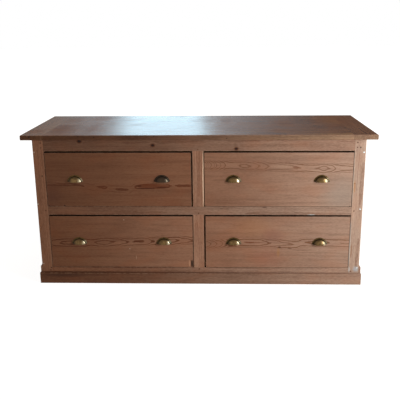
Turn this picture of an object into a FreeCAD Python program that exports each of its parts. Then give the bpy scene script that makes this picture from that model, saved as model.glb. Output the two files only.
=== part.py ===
import FreeCAD, Part
import math
import os
import re

import Sketcher

# Seed storage cabinet: a floor-standing pine chest of four drawers.
# Frame: X to the right, Y to the back, Z up; the origin is on the floor under the middle of the top.
# The face frame is mortised, tenoned and pegged, the drawers are dovetailed and run on rebated
# runners, and every drawer is opened by two hollow brass cup pulls.

os.makedirs("parts", exist_ok=True)
doc = FreeCAD.newDocument("SeedCabinet")
sizes = doc.addObject("Spreadsheet::Sheet", "Sizes")

# Driving sizes, in millimetres unless the comment says otherwise.
SIZES = {
    # carcass and face frame
    "carcass_width": 1850,
    "carcass_depth": 565,
    "frame_thickness": 22,
    "stile_width": 62,
    "muntin_width": 62,
    "bottom_rail_lift": 24,        # floor to the underside of the bottom rail
    "bottom_rail_height": 70,
    "lower_opening_height": 325,
    "mid_rail_height": 50,
    "upper_opening_height": 325,
    "top_rail_height": 68,
    # mortises, tenons and pegs
    "tenon_thickness": 8,
    "tenon_length": 38,
    "tenon_haunch": 8,
    "muntin_tenon_length": 20,
    "muntin_tenon_shoulder": 6,
    "mortise_end_gap": 1,
    "peg_radius": 4,
    "peg_length": 18,
    "peg_clearance": 0.1,
    "peg_inset": 14,               # stile's inner edge to the peg
    "peg_edge_distance": 20,       # rail's edge at the opening to the nearer peg
    "peg_pitch": 28,
    "muntin_peg_distance": 10,
    # top
    "top_thickness": 28,
    "top_side_overhang": 55,
    "top_front_overhang": 25,
    "top_back_overhang": 10,
    "top_end_width": 130,
    "top_front_board_depth": 300,
    "top_tongue_thickness": 9,
    "top_end_tongue_length": 20,
    "top_end_tongue_inset": 30,
    "top_edge_tongue_length": 8,
    "top_arris_radius": 3,
    # plank ends, back boards and partition
    "side_thickness": 18,
    "side_front_board_width": 270,
    "side_tongue_thickness": 6,
    "side_tongue_length": 8,
    "back_board_thickness": 12,
    "back_board_count": 4,         # number of boards
    "back_rebate_width": 9,
    "back_tongue_thickness": 4,
    "back_tongue_length": 6,
    "partition_thickness": 18,
    "stile_arris_radius": 4,
    # plinth
    "plinth_front_height": 65,
    "plinth_front_thickness": 20,
    "plinth_side_height": 100,
    "plinth_side_thickness": 9,
    "plinth_arris_radius": 2,
    # runners, kickers and stops
    "runner_height": 30,
    "guide_rise": 22,
    "guide_clearance": 1,
    "bearing_margin": 5,           # bearing surface past the drawer side
    "runner_clearance": 0.3,
    "kicker_width": 22,
    "stop_length": 32,
    "stop_height": 30,
    "stop_clearance": 0.5,
    # drawers
    "gap_stile": 1.5,
    "gap_muntin": 7,               # beside the upper left and the lower right drawer
    "gap_muntin_close": 3,         # beside the other two
    "gap_top": 8,
    "front_thickness": 22,
    "front_arris_radius": 1.5,
    "front_lap": 6,
    "drawer_side_thickness": 13,
    "drawer_side_drop": 6,         # side's top edge below the front's
    "drawer_back_thickness": 13,
    "drawer_back_drop": 10,
    "drawer_bottom_thickness": 9,
    "groove_rise": 12,
    "groove_depth": 6,
    "bottom_play": 0.3,
    "front_tail_count": 5,         # tails at each front corner
    "back_tail_count": 4,          # tails at each back corner
    "pin_narrow_width": 7,
    "tail_flare": 0.1667,          # rise per run of a tail's flank, 1 in 6
    # cup pulls
    "pull_spacing": 492,
    "right_pull_shift": 4,         # right drawers: pulls' middle left of the drawer's middle
    "pull_drop": 10,               # mouth of the cup below the middle of the drawer front
    "cup_radius": 39,
    "cup_sink": 6.5,               # the dome's axis below the mouth of the cup
    "cup_projection": 24,
    "cup_shoulder_radius": 12,     # tight curve where the cup meets its flange
    "cup_wall": 1.8,
    "flange_margin": 7,
    "flange_thickness": 1.8,
    "end_screw_rise": 4,           # mouth of the cup to the screws at its ends
    "screw_hole_radius": 1.8,
}

# Sizes and places that follow from the driving ones.
DERIVED = {
    "top_depth": "carcass_depth + top_front_overhang + top_back_overhang",
    "top_half_length": "carcass_width / 2 + top_side_overhang",
    "plank_length": "2 * (top_half_length - top_end_width)",
    "top_back_board_depth": "top_depth - top_front_board_depth",
    "frame_front": "top_front_overhang - top_depth / 2",
    "frame_back": "frame_front + frame_thickness",
    "carcass_back": "frame_front + carcass_depth",
    "back_inner": "carcass_back - back_board_thickness",
    "inner_depth": "back_inner - frame_back",
    "side_outer": "carcass_width / 2",
    "side_inner": "side_outer - side_thickness",
    "stile_inner": "side_outer - stile_width",
    "rail_length": "2 * stile_inner",
    "opening_width": "stile_inner - muntin_width / 2",
    "lower_sill": "bottom_rail_lift + bottom_rail_height",
    "mid_rail_bottom": "lower_sill + lower_opening_height",
    "upper_sill": "mid_rail_bottom + mid_rail_height",
    "top_rail_bottom": "upper_sill + upper_opening_height",
    "carcass_height": "top_rail_bottom + top_rail_height",
    "tenon_inset": "(frame_thickness - tenon_thickness) / 2",
    "mortise_depth": "tenon_length + mortise_end_gap",
    "muntin_tenon_width": "muntin_width - 2 * muntin_tenon_shoulder",
    "muntin_mortise_depth": "muntin_tenon_length + mortise_end_gap",
    "side_back_board_width": "carcass_depth - frame_thickness - side_front_board_width",
    "side_tongue_inset": "(side_thickness - side_tongue_thickness) / 2",
    "back_board_width": "2 * (side_inner + back_rebate_width)",
    "back_board_height": "(carcass_height - bottom_rail_lift) / back_board_count",
    "back_tongue_inset": "(back_board_thickness - back_tongue_thickness) / 2",
    "top_tongue_inset": "(top_thickness - top_tongue_thickness) / 2",
    "drawer_length": "back_inner - frame_front - stop_length - stop_clearance",
    "tail_length": "front_thickness - front_lap",
    "front_flare": "tail_length * tail_flare",
    "back_flare": "drawer_back_thickness * tail_flare",
    "pin_half": "pin_narrow_width / 2",
    "back_low": "groove_rise + drawer_bottom_thickness",
    "cup_crown_radius": "(cup_projection ^ 2 + cup_radius ^ 2 - 2 * cup_radius * cup_shoulder_radius)"
                        " / (2 * (cup_projection - cup_shoulder_radius))",
    "cup_crown_centre": "cup_crown_radius - cup_projection",
    "screw_ring_radius": "cup_radius + flange_margin / 2",
    "end_screw_x": "sqrt(screw_ring_radius ^ 2 - (cup_sink + end_screw_rise) ^ 2)",
    "crown_screw_z": "screw_ring_radius - cup_sink",
    "outer_guide_reach": "side_inner - stile_inner + gap_stile - guide_clearance",
    "muntin_guide_reach": "(muntin_width - partition_thickness) / 2 - guide_clearance",
    "bearing_width": "guide_clearance + drawer_side_thickness + bearing_margin",
}

for row, (alias, size) in enumerate(SIZES.items(), start=1):
    sizes.set(f"A{row}", alias)
    sizes.set(f"B{row}", str(size))
    sizes.setAlias(f"B{row}", alias)
doc.recompute()

nodes = []


# ---------------------------------------------------------------- expressions and placing

def formula(text):
    """The text with every size in it spelled out as a cell of the sheet."""
    def spell(match):
        word = match.group()
        if word in DERIVED:
            return "(" + formula(DERIVED[word]) + ")"
        if word in SIZES:
            return "Sizes." + word
        return word
    return re.sub(r"[a-z_]+", spell, text)


def measure(text):
    """The number that a formula gives."""
    return float(sizes.evalExpression(formula(text)))


def bind(thing, **formulas):
    """Ties properties of an object to formulas."""
    for name, text in formulas.items():
        thing.setExpression(name, formula(text))


def place(thing, x, y, z):
    """Ties an object's position to three formulas."""
    for axis, text in zip("xyz", (x, y, z)):
        thing.setExpression(f"Placement.Base.{axis}", formula(text))


def keep(thing, label):
    """Names a finished piece and lists it as a node."""
    thing.Label = label
    nodes.append(thing)
    return thing


# ---------------------------------------------------------------- sketched boards

def new_body(x, y, z):
    body = doc.addObject("PartDesign::Body", "Body")
    place(body, x, y, z)
    return body


def new_sketch(body, plane, at):
    """An empty sketch on one of the body's planes, with its origin at a point."""
    x, y, z = at
    offsets = {"XY": (x, y, z), "XZ": (x, z, f"-({y})"), "YZ": (y, z, x)}[plane]
    origin_plane = next(f for f in body.Origin.OriginFeatures if f.Role == plane + "_Plane")
    sketch = body.newObject("Sketcher::SketchObject", "Sketch")
    sketch.AttachmentSupport = (origin_plane, [""])
    sketch.MapMode = "FlatFace"
    for axis, text in zip("xyz", offsets):
        sketch.setExpression(f"AttachmentOffset.Base.{axis}", formula(text))
    return sketch


def draw(body, plane, at, outline):
    """A sketch that holds a closed outline of corners, or one circle, given by its radius."""
    sketch = new_sketch(body, plane, at)
    if isinstance(outline, str):
        draw_circle(sketch, outline)
    else:
        draw_outline(sketch, outline)
    return sketch


def draw_circle(sketch, radius):
    circle = Part.Circle(FreeCAD.Vector(0, 0, 0), FreeCAD.Vector(0, 0, 1), measure(radius))
    sketch.addGeometry(circle, False)
    sketch.addConstraint(Sketcher.Constraint("Coincident", 0, 3, -1, 1))
    index = sketch.addConstraint(Sketcher.Constraint("Radius", 0, measure(radius)))
    sketch.renameConstraint(index, "radius")
    sketch.setExpression("Constraints.radius", formula(radius))


def draw_outline(sketch, corners):
    points = [FreeCAD.Vector(measure(u), measure(v), 0) for u, v in corners]
    count = len(points)
    for i in range(count):
        sketch.addGeometry(Part.LineSegment(points[i], points[(i + 1) % count]), False)
    for i in range(count):
        sketch.addConstraint(Sketcher.Constraint("Coincident", i, 2, (i + 1) % count, 1))
    for i, (u, v) in enumerate(corners):
        pin_end(sketch, i, 1, f"corner_{i}", u, v)


def pin_end(sketch, curve, end, name, across, up):
    """Ties one end of a curve to two formulas, measured from the sketch's origin."""
    for kind, axis, text in (("DistanceX", "across", across), ("DistanceY", "up", up)):
        constraint = Sketcher.Constraint(kind, -1, 1, curve, end, measure(text))
        index = sketch.addConstraint(constraint)
        sketch.renameConstraint(index, f"{name}_{axis}")
        sketch.setExpression(f"Constraints.{name}_{axis}", formula(text))


def rectangle(u, v):
    """Corners of a rectangle with one corner on the sketch's origin."""
    return [("0", "0"), (u, "0"), (u, v), ("0", v)]


def trapezoid(near, near_half, far, far_half):
    """Corners of a tail or pin: half its width at the near end and at the far end."""
    return [(near, f"-({near_half})"), (far, f"-({far_half})"), (far, far_half), (near, near_half)]


def raise_from(body, plane, at, outline, length):
    """Adds the outline as a solid that grows along the plane's positive world axis."""
    sketch = draw(body, plane, at, outline)
    pad = body.newObject("PartDesign::Pad", "Pad")
    pad.Profile = sketch
    pad.Reversed = plane == "XZ"
    bind(pad, Length=length)
    return pad


def cut_from(body, plane, at, outline, length):
    """Cuts the outline away along the plane's positive world axis."""
    sketch = draw(body, plane, at, outline)
    pocket = body.newObject("PartDesign::Pocket", "Pocket")
    pocket.Profile = sketch
    pocket.Reversed = plane != "XZ"
    bind(pocket, Length=length)
    return pocket


def repeat_up(body, feature, count, span):
    """Repeats a feature up its sketch's vertical axis; the span is from the first to the last."""
    pattern = body.newObject("PartDesign::LinearPattern", "LinearPattern")
    pattern.Originals = [feature]
    pattern.Direction = (feature.Profile[0], ["V_Axis"])
    bind(pattern, Length=span, Occurrences=count)
    body.Tip = pattern
    return pattern


def round_over(body, radius, chosen):
    """Rounds the edges for which chosen(edge's bounds, the body's bounds) is true."""
    doc.recompute()
    tip = body.Tip
    names = []
    for number, edge in enumerate(tip.Shape.Edges, start=1):
        if chosen(edge.BoundBox, tip.Shape.BoundBox):
            names.append(f"Edge{number}")
    fillet = body.newObject("PartDesign::Fillet", "Fillet")
    fillet.Base = (tip, names)
    bind(fillet, Radius=radius)
    return fillet


def same(first, second):
    return abs(first - second) < 0.01


def board(plane, at, size):
    """A squared board from its left, front, lower corner; the plane is the one it is sawn along."""
    x, y, z = size
    body = new_body(*at)
    outline = {"XY": rectangle(x, y), "XZ": rectangle(x, z), "YZ": rectangle(y, z)}[plane]
    thickness = {"XY": z, "XZ": y, "YZ": x}[plane]
    raise_from(body, plane, ("0", "0", "0"), outline, thickness)
    return body


# ---------------------------------------------------------------- top

def make_top():
    """Two long planks, tongued together, with a cleat across each end."""
    for label, start, depth, tongue_start, is_front in (
        ("top_front_board", "-top_depth / 2", "top_front_board_depth", "top_end_tongue_inset", True),
        ("top_back_board", "top_front_board_depth - top_depth / 2", "top_back_board_depth", "0", False),
    ):
        plank = board("XY", ("-plank_length / 2", start, "carcass_height"),
                      ("plank_length", depth, "top_thickness"))
        end_outline = rectangle(f"{depth} - top_end_tongue_inset", "top_tongue_thickness")
        for end in ("-top_end_tongue_length", "plank_length"):
            raise_from(plank, "YZ", (end, tongue_start, "top_tongue_inset"), end_outline,
                       "top_end_tongue_length")
        if is_front:
            raise_from(plank, "XZ", ("0", depth, "top_tongue_inset"),
                       rectangle("plank_length", "top_tongue_thickness"), "top_edge_tongue_length")
        else:
            # the groove is ploughed right through, the end tongues included
            cut_from(plank, "XZ", ("-top_end_tongue_length", "0", "top_tongue_inset"),
                     rectangle("plank_length + 2 * top_end_tongue_length", "top_tongue_thickness"),
                     "top_edge_tongue_length")
        round_over(plank, "top_arris_radius",
                   lambda edge, whole: is_long_arris(edge, whole.YMin if is_front else whole.YMax))
        keep(plank, label)

    groove_depth = "top_end_tongue_length + mortise_end_gap"
    for label, start, groove_start in (
        ("top_end_left", "-top_half_length", f"top_end_width - ({groove_depth})"),
        ("top_end_right", "plank_length / 2", "0"),
    ):
        cleat = board("XY", (start, "-top_depth / 2", "carcass_height"),
                      ("top_end_width", "top_depth", "top_thickness"))
        cut_from(cleat, "YZ", (groove_start, "top_end_tongue_inset", "top_tongue_inset"),
                 rectangle("top_depth - 2 * top_end_tongue_inset", "top_tongue_thickness"), groove_depth)
        is_left = label == "top_end_left"
        round_over(cleat, "top_arris_radius",
                   lambda edge, whole: is_outer_top_arris(edge, whole, is_left))
        keep(cleat, label)


def is_long_arris(edge, face_y):
    """True on the two long arrises of the plank's face that stands at face_y."""
    on_face = same(edge.YMin, face_y) and same(edge.YMax, face_y)
    return on_face and edge.XLength > edge.ZLength


def is_outer_top_arris(edge, whole, is_left):
    """True on the long arrises of a cleat: both ends and the outer side, above and below."""
    level = edge.ZLength < 0.01 and (same(edge.ZMin, whole.ZMin) or same(edge.ZMin, whole.ZMax))
    outer = whole.XMin if is_left else whole.XMax
    on_side = same(edge.XMin, outer) and same(edge.XMax, outer)
    on_end = same(edge.YMin, edge.YMax) and (same(edge.YMin, whole.YMin) or same(edge.YMin, whole.YMax))
    return level and (on_side or on_end)


# ---------------------------------------------------------------- face frame

# Each rail: label, lower edge, height, height of its end tenons, heights of its end pegs.
RAILS = (
    ("rail_top", "top_rail_bottom", "top_rail_height", "top_rail_height - tenon_haunch",
     ("peg_edge_distance", "peg_edge_distance + peg_pitch")),
    ("rail_mid", "mid_rail_bottom", "mid_rail_height", "mid_rail_height",
     ("mid_rail_height / 2",)),
    ("rail_bottom", "bottom_rail_lift", "bottom_rail_height", "bottom_rail_height",
     ("bottom_rail_height - peg_edge_distance", "bottom_rail_height - peg_edge_distance - peg_pitch")),
)

# Pegs through the muntins' tenons: rail, height above the rail's lower edge.
MUNTIN_PEGS = (
    ("rail_top", "muntin_peg_distance"),
    ("rail_mid", "muntin_peg_distance"),
    ("rail_bottom", "bottom_rail_height - muntin_peg_distance"),
)


def bore_for_peg(body, x, z):
    cut_from(body, "XZ", (x, "0", z), "peg_radius + peg_clearance", "peg_length")


def make_stiles():
    for label, start, mortise_start, peg_x in (
        ("stile_left", "-side_outer", "stile_width - mortise_depth", "stile_width - peg_inset"),
        ("stile_right", "stile_inner", "0", "peg_inset"),
    ):
        stile = board("XZ", (start, "frame_front", "0"),
                      ("stile_width", "frame_thickness", "carcass_height"))
        for _, rail_bottom, _, tenon_height, peg_heights in RAILS:
            cut_from(stile, "YZ", (mortise_start, "tenon_inset", rail_bottom),
                     rectangle("tenon_thickness", tenon_height), "mortise_depth")
            for height in peg_heights:
                bore_for_peg(stile, peg_x, f"{rail_bottom} + {height}")
        is_left = label == "stile_left"
        round_over(stile, "stile_arris_radius",
                   lambda edge, whole: is_outer_front_arris(edge, whole, is_left))
        keep(stile, label)


def is_outer_front_arris(edge, whole, is_left):
    outer = whole.XMin if is_left else whole.XMax
    upright = same(edge.XMin, edge.XMax) and same(edge.YMin, edge.YMax)
    return upright and same(edge.XMin, outer) and same(edge.YMin, whole.YMin)


def make_rails():
    middle = "rail_length / 2"
    mortise_outline = rectangle("muntin_tenon_width", "tenon_thickness")
    mortise_x = f"{middle} - muntin_tenon_width / 2"
    for label, rail_bottom, height, tenon_height, peg_heights in RAILS:
        rail = board("XZ", ("-stile_inner", "frame_front", rail_bottom),
                     ("rail_length", "frame_thickness", height))
        for end, peg_x in (("-tenon_length", "-peg_inset"), ("rail_length", "rail_length + peg_inset")):
            raise_from(rail, "YZ", (end, "tenon_inset", "0"),
                       rectangle("tenon_thickness", tenon_height), "tenon_length")
            for peg_height in peg_heights:
                bore_for_peg(rail, peg_x, peg_height)
        if label != "rail_bottom":
            cut_from(rail, "XY", (mortise_x, "tenon_inset", "0"), mortise_outline,
                     "muntin_mortise_depth")
        if label != "rail_top":
            cut_from(rail, "XY", (mortise_x, "tenon_inset", f"{height} - muntin_mortise_depth"),
                     mortise_outline, "muntin_mortise_depth")
        for pegged_rail, peg_height in MUNTIN_PEGS:
            if pegged_rail == label:
                bore_for_peg(rail, middle, peg_height)
        keep(rail, label)


def make_muntins():
    """Short uprights between the drawers, tenoned into the rails above and below."""
    tenon_outline = rectangle("muntin_tenon_width", "tenon_thickness")
    for label, sill, height, pegged_above, pegged_below in (
        ("muntin_upper", "upper_sill", "upper_opening_height", True, False),
        ("muntin_lower", "lower_sill", "lower_opening_height", True, True),
    ):
        muntin = board("XZ", ("-muntin_width / 2", "frame_front", sill),
                       ("muntin_width", "frame_thickness", height))
        for start in ("-muntin_tenon_length", height):
            raise_from(muntin, "XY", ("muntin_tenon_shoulder", "tenon_inset", start), tenon_outline,
                       "muntin_tenon_length")
        if pegged_above:
            bore_for_peg(muntin, "muntin_width / 2", f"{height} + muntin_peg_distance")
        if pegged_below:
            bore_for_peg(muntin, "muntin_width / 2", "-muntin_peg_distance")
        keep(muntin, label)


def make_pegs():
    """Round pegs, flush with the face of the frame."""
    places = []
    for label, rail_bottom, _, _, peg_heights in RAILS:
        for height in peg_heights:
            places.append(("-(stile_inner + peg_inset)", f"{rail_bottom} + {height}"))
            places.append(("stile_inner + peg_inset", f"{rail_bottom} + {height}"))
        for pegged_rail, height in MUNTIN_PEGS:
            if pegged_rail == label:
                places.append(("0", f"{rail_bottom} + {height}"))
    pegs = []
    for x, z in places:
        peg = doc.addObject("Part::Cylinder", "Peg")
        bind(peg, Radius="peg_radius", Height="peg_length")
        peg.Placement.Rotation = FreeCAD.Rotation(FreeCAD.Vector(1, 0, 0), -90)
        place(peg, x, "frame_front", z)
        pegs.append(peg)
    group = doc.addObject("Part::Compound", "Pegs")
    group.Links = pegs
    keep(group, "frame_pegs")


# ---------------------------------------------------------------- plank ends, back, partition, plinth

def make_plank_ends():
    """Each end is two upright planks, tongued together, rebated at the back for the back boards."""
    joint = "frame_back + side_front_board_width"
    tongue_outline = rectangle("side_tongue_thickness", "carcass_height")
    for side, start, rebate_x in (
        ("left", "-side_outer", "side_thickness - back_rebate_width"),
        ("right", "side_inner", "0"),
    ):
        front = board("YZ", (start, "frame_back", "0"),
                      ("side_thickness", "side_front_board_width", "carcass_height"))
        raise_from(front, "XZ", ("side_tongue_inset", "side_front_board_width", "0"), tongue_outline,
                   "side_tongue_length")
        keep(front, f"side_{side}_front_board")
        back = board("YZ", (start, joint, "0"),
                     ("side_thickness", "side_back_board_width", "carcass_height"))
        cut_from(back, "XZ", ("side_tongue_inset", "0", "0"), tongue_outline, "side_tongue_length")
        cut_from(back, "XZ", (rebate_x, "side_back_board_width - back_board_thickness", "0"),
                 rectangle("back_rebate_width", "carcass_height"), "back_board_thickness")
        keep(back, f"side_{side}_back_board")


def make_back_boards():
    """Horizontal boards, each with a tongue on its upper edge that enters the next one."""
    count = round(measure("back_board_count"))
    tongue_outline = rectangle("back_board_width", "back_tongue_thickness")
    for number in range(1, count + 1):
        lower_edge = f"bottom_rail_lift + {number - 1} * back_board_height"
        plank = board("XZ", ("-back_board_width / 2", "back_inner", lower_edge),
                      ("back_board_width", "back_board_thickness", "back_board_height"))
        if number < count:
            raise_from(plank, "XY", ("0", "back_tongue_inset", "back_board_height"), tongue_outline,
                       "back_tongue_length")
        if number > 1:
            cut_from(plank, "XY", ("0", "back_tongue_inset", "0"), tongue_outline, "back_tongue_length")
        keep(plank, f"back_board_{number}")


def make_partition():
    partition = board("YZ", ("-partition_thickness / 2", "frame_back", "0"),
                      ("partition_thickness", "inner_depth", "carcass_height"))
    keep(partition, "partition")


def make_plinth():
    """A taller, thinner board along each end, and a front board that covers their end grain."""
    front = board("XZ",
                  ("-(side_outer + plinth_side_thickness)", "frame_front - plinth_front_thickness", "0"),
                  ("2 * (side_outer + plinth_side_thickness)", "plinth_front_thickness",
                   "plinth_front_height"))
    round_over(front, "plinth_arris_radius",
               lambda edge, whole: same(edge.ZMin, whole.ZMax) and same(edge.YMax, whole.YMin))
    keep(front, "plinth_front")
    for label, start in (
        ("plinth_left", "-(side_outer + plinth_side_thickness)"),
        ("plinth_right", "side_outer"),
    ):
        side = board("YZ", (start, "frame_front", "0"),
                     ("plinth_side_thickness", "carcass_depth", "plinth_side_height"))
        outer_is_left = label == "plinth_left"
        round_over(side, "plinth_arris_radius",
                   lambda edge, whole: is_upper_outer_arris(edge, whole, outer_is_left))
        keep(side, label)


def is_upper_outer_arris(edge, whole, outer_is_left):
    outer = whole.XMin if outer_is_left else whole.XMax
    level = same(edge.ZMin, whole.ZMax) and same(edge.XMin, edge.XMax)
    return level and same(edge.XMin, outer)


# ---------------------------------------------------------------- runners, kickers and stops

# Gap between each level's drawer fronts and the muntin: for its left drawer, and for its right one.
MUNTIN_GAPS = {"upper": ("gap_muntin", "gap_muntin_close"), "lower": ("gap_muntin_close", "gap_muntin")}


def walls(level):
    """Each wall that runners stand against: its face, its guide's reach, and which way (+1 or -1)."""
    left_gap, right_gap = MUNTIN_GAPS[level]
    return (
        ("-side_inner", "outer_guide_reach", 1),
        ("-partition_thickness / 2", f"muntin_guide_reach + {left_gap}", -1),
        ("partition_thickness / 2", f"muntin_guide_reach + {right_gap}", 1),
        ("side_inner", "outer_guide_reach", -1),
    )


def gather(label, pieces):
    group = doc.addObject("Part::Compound", "Group")
    group.Links = pieces
    keep(group, label)


def make_runner(face, reach, way, sill):
    """A rebated runner: the drawer's side slides on its step and against its upright guide."""
    full_height = "runner_height + guide_rise"
    step_end = f"{way} * ({reach} + bearing_width)"
    guide_face = f"{way} * ({reach})"
    runner = new_body(face, "frame_back", f"{sill} - runner_height")
    raise_from(runner, "XZ", ("0", "0", "0"),
               [("0", "0"), (step_end, "0"), (step_end, "runner_height"),
                (guide_face, "runner_height"), (guide_face, full_height), ("0", full_height)],
               "inner_depth")
    return runner


def block_from(face, reach, way, y, z, size):
    """A block whose near side is where the drawer's side runs, off a wall's face."""
    width, depth, height = size
    near = f"{face} + {way} * ({reach} + guide_clearance)"
    start = near if way > 0 else f"{near} - ({width})"
    return board("XZ", (start, y, z), (width, depth, height))


def make_runners():
    for level in MUNTIN_GAPS:
        gather(f"runners_{level}", [make_runner(face, reach, way, f"{level}_sill")
                                    for face, reach, way in walls(level)])


def make_kickers():
    """Battens under the top, over the drawer sides, that keep an open drawer from tipping."""
    size = ("kicker_width", "inner_depth", "top_rail_height")
    gather("kickers", [block_from(face, reach, way, "frame_back", "top_rail_bottom", size)
                       for face, reach, way in walls("upper")])


def make_stops():
    """Blocks at the back ends of the runners, which the closed drawers come up against."""
    size = ("drawer_side_thickness + bearing_margin", "stop_length", "stop_height")
    gather("drawer_stops", [block_from(face, reach, way, "back_inner - stop_length", f"{level}_sill", size)
                            for level in MUNTIN_GAPS for face, reach, way in walls(level)])


# ---------------------------------------------------------------- drawers

def make_drawer(level, column):
    """One drawer. Its frame: the middle of the lower edge of the front board's face."""
    is_left = column == "left"
    gap = MUNTIN_GAPS[level][0 if is_left else 1]
    stile_end = "(stile_inner - gap_stile)"
    muntin_end = f"(muntin_width / 2 + {gap})"
    middle = f"({stile_end} + {muntin_end}) / 2"
    half_width = f"(({stile_end} - {muntin_end}) / 2)"
    at = (f"-{middle}" if is_left else middle, "frame_front", f"{level}_sill + runner_clearance")
    front_height = f"({level}_opening_height - gap_top - runner_clearance)"
    side_height = f"({front_height} - drawer_side_drop)"
    name = f"drawer_{level}_{column}"
    make_front(name, at, half_width, front_height, side_height)
    make_sides(name, at, half_width, side_height)
    make_back(name, at, half_width, side_height)
    make_bottom(name, at, half_width)
    pulls_middle = "0" if is_left else "-right_pull_shift"
    gather(f"{name}_cup_pulls",
           [make_cup_pull(at, f"{pulls_middle} {way} pull_spacing / 2", f"{front_height} / 2 - pull_drop")
            for way in "-+"])


def between_sides(half_width):
    """Half the width between a drawer's side boards."""
    return f"({half_width} - drawer_side_thickness)"


def make_front(name, at, half_width, front_height, side_height):
    """Front board: lapped sockets at its ends for the sides' tails, and a groove for the bottom."""
    pitch = f"({side_height} / front_tail_count)"
    tip_half = f"({pitch} / 2 - pin_half)"
    inner = between_sides(half_width)
    front = new_body(*at)
    raise_from(front, "XZ", (f"-{half_width}", "0", "0"), rectangle(f"2 * {half_width}", front_height),
               "front_thickness")
    for end in (f"-{half_width}", inner):
        socket = cut_from(front, "YZ", (end, "0", f"{pitch} / 2"),
                          trapezoid("front_lap", tip_half, "front_thickness",
                                    f"{tip_half} - front_flare"),
                          "drawer_side_thickness")
        repeat_up(front, socket, "front_tail_count", f"{pitch} * (front_tail_count - 1)")
    cut_from(front, "XZ", (f"-{inner}", "front_thickness - groove_depth", "groove_rise"),
             rectangle(f"2 * {inner}", "drawer_bottom_thickness"), "groove_depth")
    round_over(front, "front_arris_radius",
               lambda edge, whole: same(edge.YMax, whole.YMin) and is_on_rim(edge, whole))
    keep(front, f"{name}_front")


def is_on_rim(edge, whole):
    """True for an edge along the outline of the front board's face."""
    upright = same(edge.XMin, edge.XMax) and (same(edge.XMin, whole.XMin) or same(edge.XMin, whole.XMax))
    level = same(edge.ZMin, edge.ZMax) and (same(edge.ZMin, whole.ZMin) or same(edge.ZMin, whole.ZMax))
    return upright or level


def make_sides(name, at, half_width, side_height):
    """Side boards: tails at the front and the back, and a groove for the bottom."""
    front_pitch = f"({side_height} / front_tail_count)"
    back_pitch = f"(({side_height} - drawer_back_drop - back_low) / back_tail_count)"
    inner = between_sides(half_width)
    for side, outer_x, groove_x in (
        ("left", f"-{half_width}", f"-{inner} - groove_depth"),
        ("right", inner, inner),
    ):
        panel = new_body(*at)
        raise_from(panel, "YZ", (outer_x, "front_lap", "0"),
                   rectangle("drawer_length - front_lap", side_height), "drawer_side_thickness")
        front_space = cut_from(panel, "YZ", (outer_x, "0", "0"),
                               trapezoid("front_lap", "pin_half", "front_thickness",
                                         "pin_half + front_flare"),
                               "drawer_side_thickness")
        repeat_up(panel, front_space, "front_tail_count + 1", side_height)
        back_space = cut_from(panel, "YZ", (outer_x, "0", f"back_low + {back_pitch}"),
                              trapezoid("drawer_length - drawer_back_thickness",
                                        "pin_half + back_flare", "drawer_length", "pin_half"),
                              "drawer_side_thickness")
        repeat_up(panel, back_space, "back_tail_count - 1", f"{back_pitch} * (back_tail_count - 2)")
        cut_from(panel, "YZ", (groove_x, "front_thickness - groove_depth", "groove_rise"),
                 rectangle("drawer_length - front_thickness + groove_depth",
                           "drawer_bottom_thickness"), "groove_depth")
        keep(panel, f"{name}_side_{side}")


def make_back(name, at, half_width, side_height):
    """Back board over the bottom, with pins that fill the spaces between the sides' tails."""
    height = f"({side_height} - drawer_back_drop - back_low)"
    pitch = f"({height} / back_tail_count)"
    inner = between_sides(half_width)
    back = new_body(*at)
    raise_from(back, "XZ", (f"-{inner}", "drawer_length - drawer_back_thickness", "back_low"),
               rectangle(f"2 * {inner}", height), "drawer_back_thickness")
    for end in (f"-{half_width}", inner):
        pin = raise_from(back, "YZ", (end, "0", f"back_low + {pitch}"),
                         trapezoid("drawer_length - drawer_back_thickness", "pin_half + back_flare",
                                   "drawer_length", "pin_half"),
                         "drawer_side_thickness")
        repeat_up(back, pin, "back_tail_count - 1", f"{pitch} * (back_tail_count - 2)")
    keep(back, f"{name}_back")


def make_bottom(name, at, half_width):
    """Bottom board, slid in from the back under the back board."""
    reach = f"({between_sides(half_width)} + groove_depth - bottom_play)"
    start = "(front_thickness - groove_depth + bottom_play)"
    bottom = new_body(*at)
    raise_from(bottom, "XY", (f"-{reach}", start, "groove_rise"),
               rectangle(f"2 * {reach}", f"drawer_length - {start}"), "drawer_bottom_thickness")
    keep(bottom, f"{name}_bottom")


# ---------------------------------------------------------------- cup pulls

# Screw holes of a cup pull, from the middle of its mouth: one at each end, one over the dome.
PULL_HOLES = (("-end_screw_x", "end_screw_rise"), ("end_screw_x", "end_screw_rise"), ("0", "crown_screw_z"))



def draw_arch(sketch, outer, inner):
    """Half a flat ring over the sketch's horizontal axis."""
    rings = []
    for name, radius in (("outer", outer), ("inner", inner)):
        ring = draw_arc(sketch, name, ("0", "0"), radius, (radius, "0"), (f"-({radius})", "0"))
        sketch.addConstraint(Sketcher.Constraint("Coincident", ring, 3, -1, 1))
        for end in (1, 2):
            sketch.addConstraint(Sketcher.Constraint("PointOnObject", ring, end, -1))
        rings.append(ring)
    join_ends(sketch, rings, 1)
    join_ends(sketch, rings, 2)


def draw_arc(sketch, name, centre, radius, start, end):
    """An arc that runs anticlockwise between two points, with its radius tied to a formula."""
    middle = FreeCAD.Vector(measure(centre[0]), measure(centre[1]), 0)
    circle = Part.Circle(middle, FreeCAD.Vector(0, 0, 1), measure(radius))
    angles = [math.atan2(measure(v) - middle.y, measure(u) - middle.x) for u, v in (start, end)]
    curve = sketch.addGeometry(Part.ArcOfCircle(circle, *angles), False)
    index = sketch.addConstraint(Sketcher.Constraint("Radius", curve, measure(radius)))
    sketch.renameConstraint(index, f"{name}_radius")
    sketch.setExpression(f"Constraints.{name}_radius", formula(radius))
    return curve


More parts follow.
